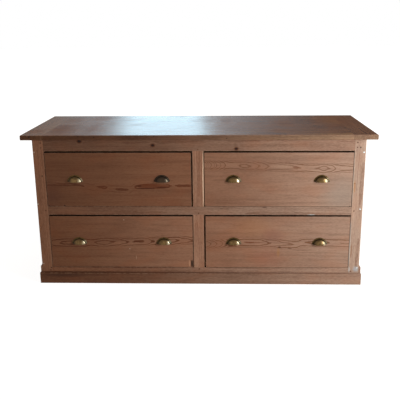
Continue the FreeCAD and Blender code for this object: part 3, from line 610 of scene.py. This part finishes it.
# %% Figure of the drawer fronts
# A front's heart line is at height `bow`, and `figure` adds rings along it. Where the curve falls
# through a whole number a new eye opens, and where it climbs back the eye closes in a point.
FRONTS = {
    "drawer_upper_left_front": {
        "late": "66371a", "steady": 0.95, "fade": (0.0001, 0.0005), "faded": 0.95,
        "bow": [(-0.862, 0.605), (-0.70, 0.600), (-0.64, 0.592), (-0.60, 0.583), (-0.577, 0.586),
                (-0.53, 0.583), (-0.45, 0.572), (-0.39, 0.568), (-0.36, 0.584), (-0.30, 0.589),
                (-0.20, 0.592), (-0.034, 0.592)],
        "figure": [(-0.862, -0.30), (-0.75, -0.22), (-0.70, -0.16), (-0.66, -0.06), (-0.635, 0.03),
                   (-0.61, 0.25), (-0.577, 0.0), (-0.55, -0.12), (-0.53, -0.22), (-0.508, 0.02),
                   (-0.49, 0.12), (-0.46, -0.02), (-0.42, -0.035), (-0.39, 0.02), (-0.375, 0.3),
                   (-0.357, 0.0), (-0.345, -0.25), (-0.30, -0.45), (-0.25, -0.55), (-0.20, -0.42),
                   (-0.17, -0.22), (-0.155, 0.03), (-0.14, 0.12), (-0.127, 0.0), (-0.11, -0.05),
                   (-0.034, -0.07)]},
    "drawer_upper_right_front": {
        "contrast": 0.85, "late": "683d22",
        "bow": [(0.034, 0.713), (0.20, 0.712), (0.27, 0.708), (0.42, 0.705), (0.50, 0.702),
                (0.565, 0.697), (0.66, 0.694), (0.862, 0.695)],
        "figure": [(0.034, -7.0), (0.08, -4.0), (0.108, -2.0), (0.135, -0.9), (0.157, 0.0), (0.185, 0.28),
                   (0.222, 0.0), (0.26, -0.28), (0.302, 0.02), (0.345, 1.0), (0.402, 2.0), (0.43, 2.3),
                   (0.50, 2.62), (0.54, 2.85), (0.565, 3.0), (0.60, 3.25), (0.664, 3.0), (0.70, 2.58),
                   (0.731, 3.0), (0.768, 4.0), (0.80, 4.45), (0.862, 4.7)]},
    "drawer_lower_left_front": {
        "late": "5a2d12", "contrast": 1.0,
        "bow": [(-0.862, 0.245), (-0.70, 0.247), (-0.54, 0.249), (-0.48, 0.252), (-0.40, 0.252),
                (-0.33, 0.256), (-0.20, 0.258), (-0.11, 0.262), (-0.034, 0.262)],
        "figure": [(-0.862, 0.6), (-0.84, 0.05), (-0.825, -0.06), (-0.78, -0.32), (-0.70, -0.42),
                   (-0.66, -0.3), (-0.645, 0.0), (-0.625, 0.25), (-0.605, 0.0), (-0.585, -0.32),
                   (-0.555, -0.46), (-0.53, -0.38), (-0.515, -0.18), (-0.47, 0.02), (-0.44, 0.65),
                   (-0.40, 0.98), (-0.37, 0.96), (-0.33, 0.90), (-0.305, 1.0), (-0.27, 1.83),
                   (-0.24, 2.0), (-0.20, 1.8), (-0.15, 1.66), (-0.115, 1.92), (-0.10, 2.3),
                   (-0.034, 2.8)]},
    "drawer_lower_right_front": {
        "bow": [(0.038, 0.240), (0.10, 0.242), (0.16, 0.245), (0.25, 0.252), (0.35, 0.250), (0.432, 0.247),
                (0.50, 0.243), (0.555, 0.240), (0.60, 0.252), (0.70, 0.252), (0.862, 0.247)],
        "figure": [(0.038, -3.0), (0.075, -2.0), (0.11, -1.0), (0.15, 0.0), (0.18, 0.16), (0.235, 0.0),
                   (0.30, -0.06), (0.345, 0.0), (0.38, 0.62), (0.41, 0.93), (0.432, 1.02), (0.455, 1.4),
                   (0.49, 1.75), (0.52, 1.87), (0.555, 2.0), (0.58, 2.2), (0.60, 2.01), (0.62, 1.92),
                   (0.66, 1.72), (0.72, 1.72), (0.745, 1.9), (0.757, 2.02), (0.79, 2.02), (0.82, 1.93),
                   (0.862, 1.9)]},
}
# Patches of the top, at (x, y), where the wax has worn away and the wood has gone dull.
DULL = (((-0.79, -0.15), (0.07, 0.13), 0.75), ((-0.93, -0.19), (0.05, 0.06), 0.6),
        ((-0.62, -0.12), (0.03, 0.14), 0.5), ((-0.63, 0.20), (0.06, 0.06), 0.45),
        ((-0.80, 0.15), (0.05, 0.08), 0.35), ((0.51, 0.03), (0.05, 0.09), 0.4),
        ((0.46, -0.19), (0.05, 0.04), 0.5), ((0.84, 0.13), (0.12, 0.18), 0.75),
        ((0.16, 0.10), (0.04, 0.10), 0.35))
# The knots of a board: their places along and across it, and the size of each dark core.
KNOTS = {"drawer_lower_right_front": ((0.19, 0.25, 0.015),),
         "rail_top": ((-0.658, 0.852, 0.008), (-0.250, 0.827, 0.007), (0.213, 0.807, 0.007))}

# %% [markdown]
# ## Painted light and years of use
# Each board's pine is multiplied by a tone at each of its two ends. On the front these tones are
# painted light and shade, with each board's own shade in them too: the left ends, far from the window,
# are darker and redder, and the right ends, in its light, lighter and cooler. The marks are the few
# things that one notices when standing in front of it.

# %% Tones and marks
BLUE_SHIFT = 1.7    # cooling the wood moves its blue this many times as far as its green


def tone(light, cool):
    """A painted shade and colour cast: how light the wood looks, and how cool; below 0 it is redder than
    fresh pine, and above 0 greyer.
    """
    return light, light * (1 + cool), light * (1 + BLUE_SHIFT * cool)


TOP_TONES = ((1.25, 1.15, 1.05), (1.2, 1.13, 0.82))
TONES = {
    "drawer_upper_left_front": (tone(0.45, -0.25), tone(0.65, -0.20)),
    "drawer_lower_left_front": (tone(0.55, -0.25), tone(0.90, -0.10)),
    "drawer_upper_right_front": (tone(0.80, -0.10), tone(1.00, 0.10)),
    "drawer_lower_right_front": (tone(0.90, -0.10), tone(0.95, 0.10)),
    "rail_top": (tone(0.50, -0.10), tone(0.90, 0.05)),
    "rail_mid": (tone(0.60, -0.15), tone(0.95, 0.15)),
    "rail_bottom": (tone(0.75, -0.20), tone(1.10, 0.15)),
    "plinth_front": (tone(0.45, -0.25), tone(0.95, 0.10)),
    "stile_left": (tone(0.80, -0.15),) * 2,
    "stile_right": (tone(1.15, 0.20),) * 2,
    "muntin_upper": (tone(1.00, -0.05),) * 2,
    "muntin_lower": (tone(1.10, -0.05),) * 2,
    "top_front_board": TOP_TONES,
    "top_back_board": TOP_TONES,
    "top_end_left": ((1.35, 1.25, 1.1),) * 2,
    "top_end_right": ((1.15, 1.07, 0.78),) * 2,
}
# Where along X the first tone gives way to the second, for boards that change over another span.
TONE_SPANS = {"rail_top": (-0.45, 0.55), "plinth_front": (-0.80, 1.05)}
# The top's front edge: painted shade at the left end and painted cool window light at the right.
PAINTED_EDGE_LIGHT = lit_front_edge(-0.3, (0.31, 0.33, 0.33), (0.95, 1.40, 2.2))
WHITE_PAINT = "e4e2dc"
MARKS = {
    "top_front_board": [PAINTED_EDGE_LIGHT, spot((0.80, -0.276), (0.2, 0.016), "d6ab7a", 0.3, lying=True)]
    + dots("241510", 0.0035, (-0.570, 0.880), (-0.656, 0.884), (-0.239, 0.884), (0.16, 0.872)),
    "top_end_left": [PAINTED_EDGE_LIGHT, spot((-0.93, 0.882), (0.006, 0.004), "241510"),
                     spot((-0.863, -0.12), (0.010, 0.16), "c9ab96", 0.3, lying=True)],
    "top_end_right": [PAINTED_EDGE_LIGHT],
    "stile_left": dots("2c1710", 0.0038, (-0.881, 0.650), (-0.871, 0.089))
    + dots(WHITE_PAINT, 0.0034, (-0.917, 0.789), (-0.918, 0.483), (-0.915, 0.114)),
    "stile_right": [spot((0.8645, 0.63), (0.0022, 0.15), "c4ac98", 0.4),
                    spot((0.8645, 0.24), (0.0028, 0.14), "c4b4a6", 0.45)]
    + dots("2c1710", 0.0042, (0.894, 0.814), (0.873, 0.606))
    + dots(WHITE_PAINT, 0.0036, (0.914, 0.786), (0.911, 0.455), (0.913, 0.096))
    + [spot((0.873, 0.585), (0.006, 0.035), "9a5f34", 0.6),
       spot((0.875, 0.200), (0.004, 0.045), "7a4a2e", 0.6),
       spot((0.905, 0.088), (0.012, 0.014), "9a9a9a", 0.5, soft=0.8, rag=1.6),
       spot((0.868, 0.084), (0.004, 0.016), "a5a19c", 0.5, soft=0.8, rag=1.0)],
    "drawer_upper_left_front": [
        spot((-0.25, 0.590), (0.095, 0.013), "7a3f1c", 0.6, soft=0.3, rag=0.6),
        spot((-0.27, 0.598), (0.055, 0.008), "743c1b", 0.45, soft=0.4, rag=0.6),
        spot((-0.30, 0.5775), (0.055, 0.0035), "4c240f", 0.8, rag=0.9),
        spot((-0.335, 0.591), (0.022, 0.005), "552b14", 0.75, rag=0.8),
        spot((-0.205, 0.583), (0.040, 0.005), "552b14", 0.75, rag=0.8),
        spot((-0.80, 0.614), (0.06, 0.004), "b8917b", 0.35, soft=0.7),
        spot((-0.84, 0.53), (0.05, 0.08), "6d5050", 0.3, soft=0.8)]
    + dots("160c08", 0.0045, (-0.853, 0.470), (-0.765, 0.473)),
    "drawer_upper_right_front": [
        spot((0.548, 0.699), (0.018, 0.005), "6a3420", 0.35),
        spot((0.46, 0.706), (0.06, 0.010), "bfa088", 0.12, soft=0.6),
        spot((0.80, 0.54), (0.09, 0.09), "8c8478", 0.3, soft=0.8)]
    + dots("1c100b", 0.004, (0.853, 0.470), (0.041, 0.472)),
    "drawer_lower_left_front": [
        # a pale splinter at the corner, and beside it the near-black slot of the missing piece: a painted
        # shadow
        spot((-0.056, 0.120), (0.005, 0.020), "c4987c", 0.8, soft=0.3),
        spot((-0.042, 0.118), (0.0055, 0.024), "0e0705", 0.95, soft=0.25),
        spot((-0.366, 0.156), (0.0016, 0.013), "cdb29c", 0.7)]
    + dots("d8c8ba", 0.0028, (-0.430, 0.388), (-0.402, 0.210)),
    "drawer_lower_right_front": [
        spot((0.30, 0.345), (0.09, 0.055), "a9703f", 0.25, soft=0.8),
        spot((0.39, 0.165), (0.07, 0.055), "a05f4a", 0.25, soft=0.8),
        spot((0.42, 0.295), (0.05, 0.035), "7a4f49", 0.28, soft=0.8),
        spot((0.31, 0.250), (0.05, 0.0035), "6b2f1a", 0.6),
        spot((0.463, 0.222), (0.009, 0.005), "4a2616", 0.8),
        spot((0.458, 0.190), (0.008, 0.028), "a9733f", 0.4),
        spot((0.522, 0.214), (0.012, 0.003), "5a3424", 0.7),
        spot((0.60, 0.2055), (0.062, 0.0022), "5f3a28", 0.65),
        spot((0.78, 0.272), (0.075, 0.0012), "6a4433", 0.6)],
    "rail_bottom": [spot((-0.45, 0.0905), (0.41, 0.0022), "4a2418", 0.7, soft=0.3, rag=0.8),
                    spot((0.40, 0.0905), (0.36, 0.0020), "54301f", 0.6, soft=0.3, rag=0.9)],
    "rail_mid": [spot((0.375, 0.4655), (0.013, 0.0025), "3c2018", 0.8),
                 spot((0.13, 0.456), (0.008, 0.002), "4c2a1e", 0.7),
                 spot((0.64, 0.4215), (0.022, 0.0016), "d8d2c8", 0.7, rag=1.6)],
    "plinth_front": [spot((-0.80, 0.052), (0.13, 0.012), "3a2018", 0.55, soft=0.8)],
    # a bright strip down the muntin's right arris: a painted highlight of the window's light, on a worn
    # edge
    "muntin_upper": [spot((0.029, 0.63), (0.0042, 0.165), "f2cfb2", 0.95, soft=0.4, rag=0.4)],
}

# %% Give every board its pine
made = 0
for name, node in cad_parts.items():
    if name not in GRAIN:
        continue
    grain, face, outward = GRAIN[name]
    look = {}
    if name.startswith("top_"):
        look.update(WAXED_TOP)
        look["dull"] = DULL
    elif name.startswith(("runners", "kickers", "drawer_stops", "partition", "back_board")):
        look.update(BARE)
    elif name.startswith("drawer_") and not name.endswith("_front"):
        look.update(BARE)
    elif name == "frame_pegs":
        look.update(PEG)
    elif name.startswith(("rail", "muntin")) or name in FRONTS:
        # painted shadow in the gaps between the rails, muntins and drawer fronts
        look["gap_shadow"] = 0.96
    if name in FRONTS:
        look.update(FRONT)
        look.update(FRONTS[name])
    look["knots"] = KNOTS.get(name, ())
    look["marks"] = MARKS.get(name, ())
    look["tones"] = TONES.get(name, PLAIN["tones"])
    if name in TONE_SPANS:
        look["tone_span"] = TONE_SPANS[name]
    assign(node, pine(f"pine_{name}", board_of(name, grain, face, outward, **look)))
    made += 1
print(f"{made} boards have their own pine")

# %% [markdown]
# ## Brass cup pulls
# A cup pull is pressed from one sheet of brass: a flange that lies on the drawer, a tight curve, and
# a shallow dome. Its outline is drawn once as a profile from the rim of the flange to the crown,
# spun round the dome's axis, cut off level at the mouth, and given the sheet's thickness.

# %% Aged brass
def brass(name, face_y, mouth_z, middles, browned):
    """Two cups' brass, tarnished at random. Right of each face it is paler, a painted highlight, and
    smoother as if polished by fingers; its upper slope, left side and shoulder are darker: painted shade
    and dark reflection.
    """
    finish = Finish(name)
    x, y, z = finish.places()
    tarnish = finish.noise(x * 90, y * 90, z * 90, detail=4)
    patch = finish.noise(x * 240, y * 240, z * 240, detail=2)
    second = x.math("GREATER_THAN", x, sum(middles) / 2)
    from_middle = x - middles[0] - second * (middles[1] - middles[0])
    upper_slope = z.rise(mouth_z + 0.015, mouth_z + 0.026)
    left_side = from_middle.rise(-0.010, -0.034)
    polish_and_highlight = from_middle.rise(0.014, 0.030) * z.rise(mouth_z + 0.026, mouth_z + 0.015)
    flange = y.rise(face_y - 0.0024, face_y - 0.0017)
    crease = y.rise(face_y - 0.0125, face_y - 0.005) * (1 - y.rise(face_y - 0.0024, face_y - 0.0018))
    # Painted shade and reflection: the upper slope, the left side and the shoulder ring ('crease') are
    # darker, as where the dome mirrors a dim room; the paler patch to the right is a painted highlight.
    colour = linear("624d2f")
    for mask, tint in ((tarnish.rise(0.38, 0.68) * 0.6, "3d2c18"), (upper_slope * 0.6, "35260f"),
                       (left_side * 0.6, "21170b"), (polish_and_highlight * 0.75, "a89c80"),
                       (flange * 0.6, "54401f"), (crease * 0.8, "1c1209")):
        colour = finish.blend(mask, colour, linear(tint))
    roughness = 0.3 + tarnish.rise(0.35, 0.7) * 0.1 + patch * 0.05 - polish_and_highlight * 0.06
    if browned:
        colour = finish.blend(second * 0.85, colour, linear("261d18"))
        roughness = roughness + second * 0.03
    height = tarnish + patch * 0.4
    return finish.close(finish.shade(colour, roughness, height, 0.0004, Metallic=0.88))


# %% One pressed cup
AXIS_DROP = 0.0065             # the dome's axis lies this far below the mouth
FLANGE_RADIUS, CUP_RADIUS = 0.046, 0.039
SHOULDER_RADIUS, PROJECTION = 0.0155, 0.0225
SHEET = 0.0018
CUP_STEPS = 72
SCREW_RING = (FLANGE_RADIUS + CUP_RADIUS) / 2
END_SCREW_RISE = 0.004


def arc(centre, radius, start, end, steps):
    """Points (outward, forward) on an arc, with angles in degrees from the outward direction."""
    angles = [math.radians(start + (end - start) * i / steps) for i in range(steps + 1)]
    return [(centre[0] + radius * math.cos(a), centre[1] + radius * math.sin(a)) for a in angles]


def cup_profile():
    """From the flange's rim to the crown: how far out from the axis, and how far forward."""
    shoulder = CUP_RADIUS - SHOULDER_RADIUS
    crown = (PROJECTION ** 2 + CUP_RADIUS ** 2 - 2 * CUP_RADIUS * SHOULDER_RADIUS) \
        / (2 * (PROJECTION - SHOULDER_RADIUS))
    crown_centre = (0, PROJECTION - crown)
    joint = math.degrees(math.atan2(-crown_centre[1], shoulder))
    foot = math.degrees(math.asin((SHEET + 0.0012) / SHOULDER_RADIUS))
    points = [(FLANGE_RADIUS, SHEET * 0.4), (FLANGE_RADIUS - 0.0005, SHEET), (CUP_RADIUS + 0.0013, SHEET)]
    points += arc((shoulder, 0), SHOULDER_RADIUS, foot, joint, 8)
    points += arc(crown_centre, crown, joint, 90, 12)[1:]
    return points


def press_cup(mesh, x, mouth_z, face_y):
    """Adds one cup, open below, with its mouth's middle at x and mouth_z on the drawer's face."""
    before = set(mesh.verts)
    axis = Vector((x, face_y, mouth_z - AXIS_DROP))
    line = [mesh.verts.new(axis + Vector((out, -forward, 0))) for out, forward in cup_profile()]
    edges = [mesh.edges.new(pair) for pair in zip(line, line[1:])]
    bmesh.ops.spin(mesh, geom=line + edges, cent=axis, axis=(0, 1, 0), angle=math.tau, steps=CUP_STEPS,
                   use_merge=True)
    mine = [v for v in mesh.verts if v not in before]
    bmesh.ops.remove_doubles(mesh, verts=mine, dist=1e-5)
    mine = [v for v in mesh.verts if v not in before]
    faces = list({f for v in mine for f in v.link_faces})
    edges = list({e for v in mine for e in v.link_edges})
    bmesh.ops.bisect_plane(mesh, geom=mine + edges + faces, plane_co=(x, face_y, mouth_z),
                           plane_no=(0, 0, -1), clear_outer=True)
    mine = [v for v in mesh.verts if v not in before]
    faces = list({f for v in mine for f in v.link_faces})
    bmesh.ops.recalc_face_normals(mesh, faces=faces)
    bmesh.ops.solidify(mesh, geom=faces, thickness=SHEET * 0.9)
    rim = list({e for v in mesh.verts if v not in before for e in v.link_edges
                if all(abs(end.co.z - mouth_z) < 1e-5 for end in e.verts) and e.calc_face_angle(0) > 1})
    bmesh.ops.bevel(mesh, geom=rim, offset=0.0005, segments=2, profile=0.5, affect="EDGES", material=-1)


# %% [markdown]
# ## Screws
# Three round-headed screws hold each pull. A head is a short arc spun round the screw's axis. Two
# cuts a slot's width apart divide it, and the faces between them are pushed in to make the slot.

# %% One round-headed screw
HEAD_RADIUS, HEAD_HEIGHT, SLOT_WIDTH = 0.0028, 0.0014, 0.0007
HEAD_STEPS = 20


def turn_screw(mesh, centre, angle):
    """Adds a screw head that faces along -Y, with its slot turned by an angle."""
    before = set(mesh.verts)
    curve = (HEAD_RADIUS ** 2 + HEAD_HEIGHT ** 2) / (2 * HEAD_HEIGHT)
    start = math.degrees(math.asin((curve - HEAD_HEIGHT) / curve))
    profile = arc((0, HEAD_HEIGHT - curve), curve, start, 90, 5)
    line = [mesh.verts.new(Vector((out, -forward, 0))) for out, forward in profile]
    edges = [mesh.edges.new(pair) for pair in zip(line, line[1:])]
    bmesh.ops.spin(mesh, geom=line + edges, cent=(0, 0, 0), axis=(0, 1, 0), angle=math.tau,
                   steps=HEAD_STEPS, use_merge=True)
    bmesh.ops.remove_doubles(mesh, verts=[v for v in mesh.verts if v not in before], dist=1e-6)
    for way in (-1, 1):
        mine = [v for v in mesh.verts if v not in before]
        geometry = mine + list({e for v in mine for e in v.link_edges}) \
            + list({f for v in mine for f in v.link_faces})
        bmesh.ops.bisect_plane(mesh, geom=geometry, plane_co=(way * SLOT_WIDTH / 2, 0, 0),
                               plane_no=(1, 0, 0))
    slot = [f for f in {f for v in mesh.verts if v not in before for f in v.link_faces}
            if abs(f.calc_center_median().x) < SLOT_WIDTH / 2]
    pushed = bmesh.ops.extrude_face_region(mesh, geom=slot)["geom"]
    bmesh.ops.delete(mesh, geom=slot, context="FACES_ONLY")
    bmesh.ops.translate(mesh, vec=(0, HEAD_HEIGHT * 0.55, 0),
                        verts=[g for g in pushed if isinstance(g, bmesh.types.BMVert)])
    mine = [v for v in mesh.verts if v not in before]
    bmesh.ops.recalc_face_normals(mesh, faces=list({f for v in mine for f in v.link_faces}))
    placing = Matrix.Translation(centre) @ Matrix.Rotation(angle, 4, "Y")
    bmesh.ops.transform(mesh, matrix=placing, verts=mine)


# %% Put the pulls and screws on their drawers
def add_piece(name, mesh, material, body):
    """Turns a bmesh into an object that rides on a body of the cabinet."""
    for face in mesh.faces:
        face.smooth = True
    data = bpy.data.meshes.new(name)
    mesh.to_mesh(data)
    mesh.free()
    data.set_sharp_from_angle(angle=math.radians(40))
    data.materials.append(material)
    piece = bpy.data.objects.new(name, data)
    bpy.context.scene.collection.objects.link(piece)
    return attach(piece, body)


spin = random.Random(7)
for drawer in DRAWERS:
    node = f"{drawer}_cup_pulls"
    low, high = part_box(node)
    mouth_z = low.z
    half = math.sqrt(FLANGE_RADIUS ** 2 - AXIS_DROP ** 2)
    middles = (low.x + half, high.x - half)
    cups, screws = bmesh.new(), bmesh.new()
    screw_out = math.sqrt(SCREW_RING ** 2 - (AXIS_DROP + END_SCREW_RISE) ** 2)
    for x in middles:
        press_cup(cups, x, mouth_z, high.y)
        for dx, dz in ((-screw_out, END_SCREW_RISE), (screw_out, END_SCREW_RISE),
                       (0, SCREW_RING - AXIS_DROP)):
            turn_screw(screws, Vector((x + dx, high.y - SHEET, mouth_z + dz)), spin.uniform(0, math.pi))
    finish = brass(f"brass_{drawer}", high.y, mouth_z, middles, drawer == "drawer_upper_left")
    counts = len(cups.faces), len(screws.faces)
    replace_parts(add_piece(f"{drawer}_pressed_cups", cups, finish, drawer), node)
    add_piece(f"{drawer}_pull_screws", screws, finish, drawer)
    print(f"{drawer}: cups {counts[0]} faces, screws {counts[1]} faces, mouth at {mouth_z:.3f} m")

# %% The visual box
low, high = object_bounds()
print("visual box", [round(value, 4) for value in (*low, *high)])
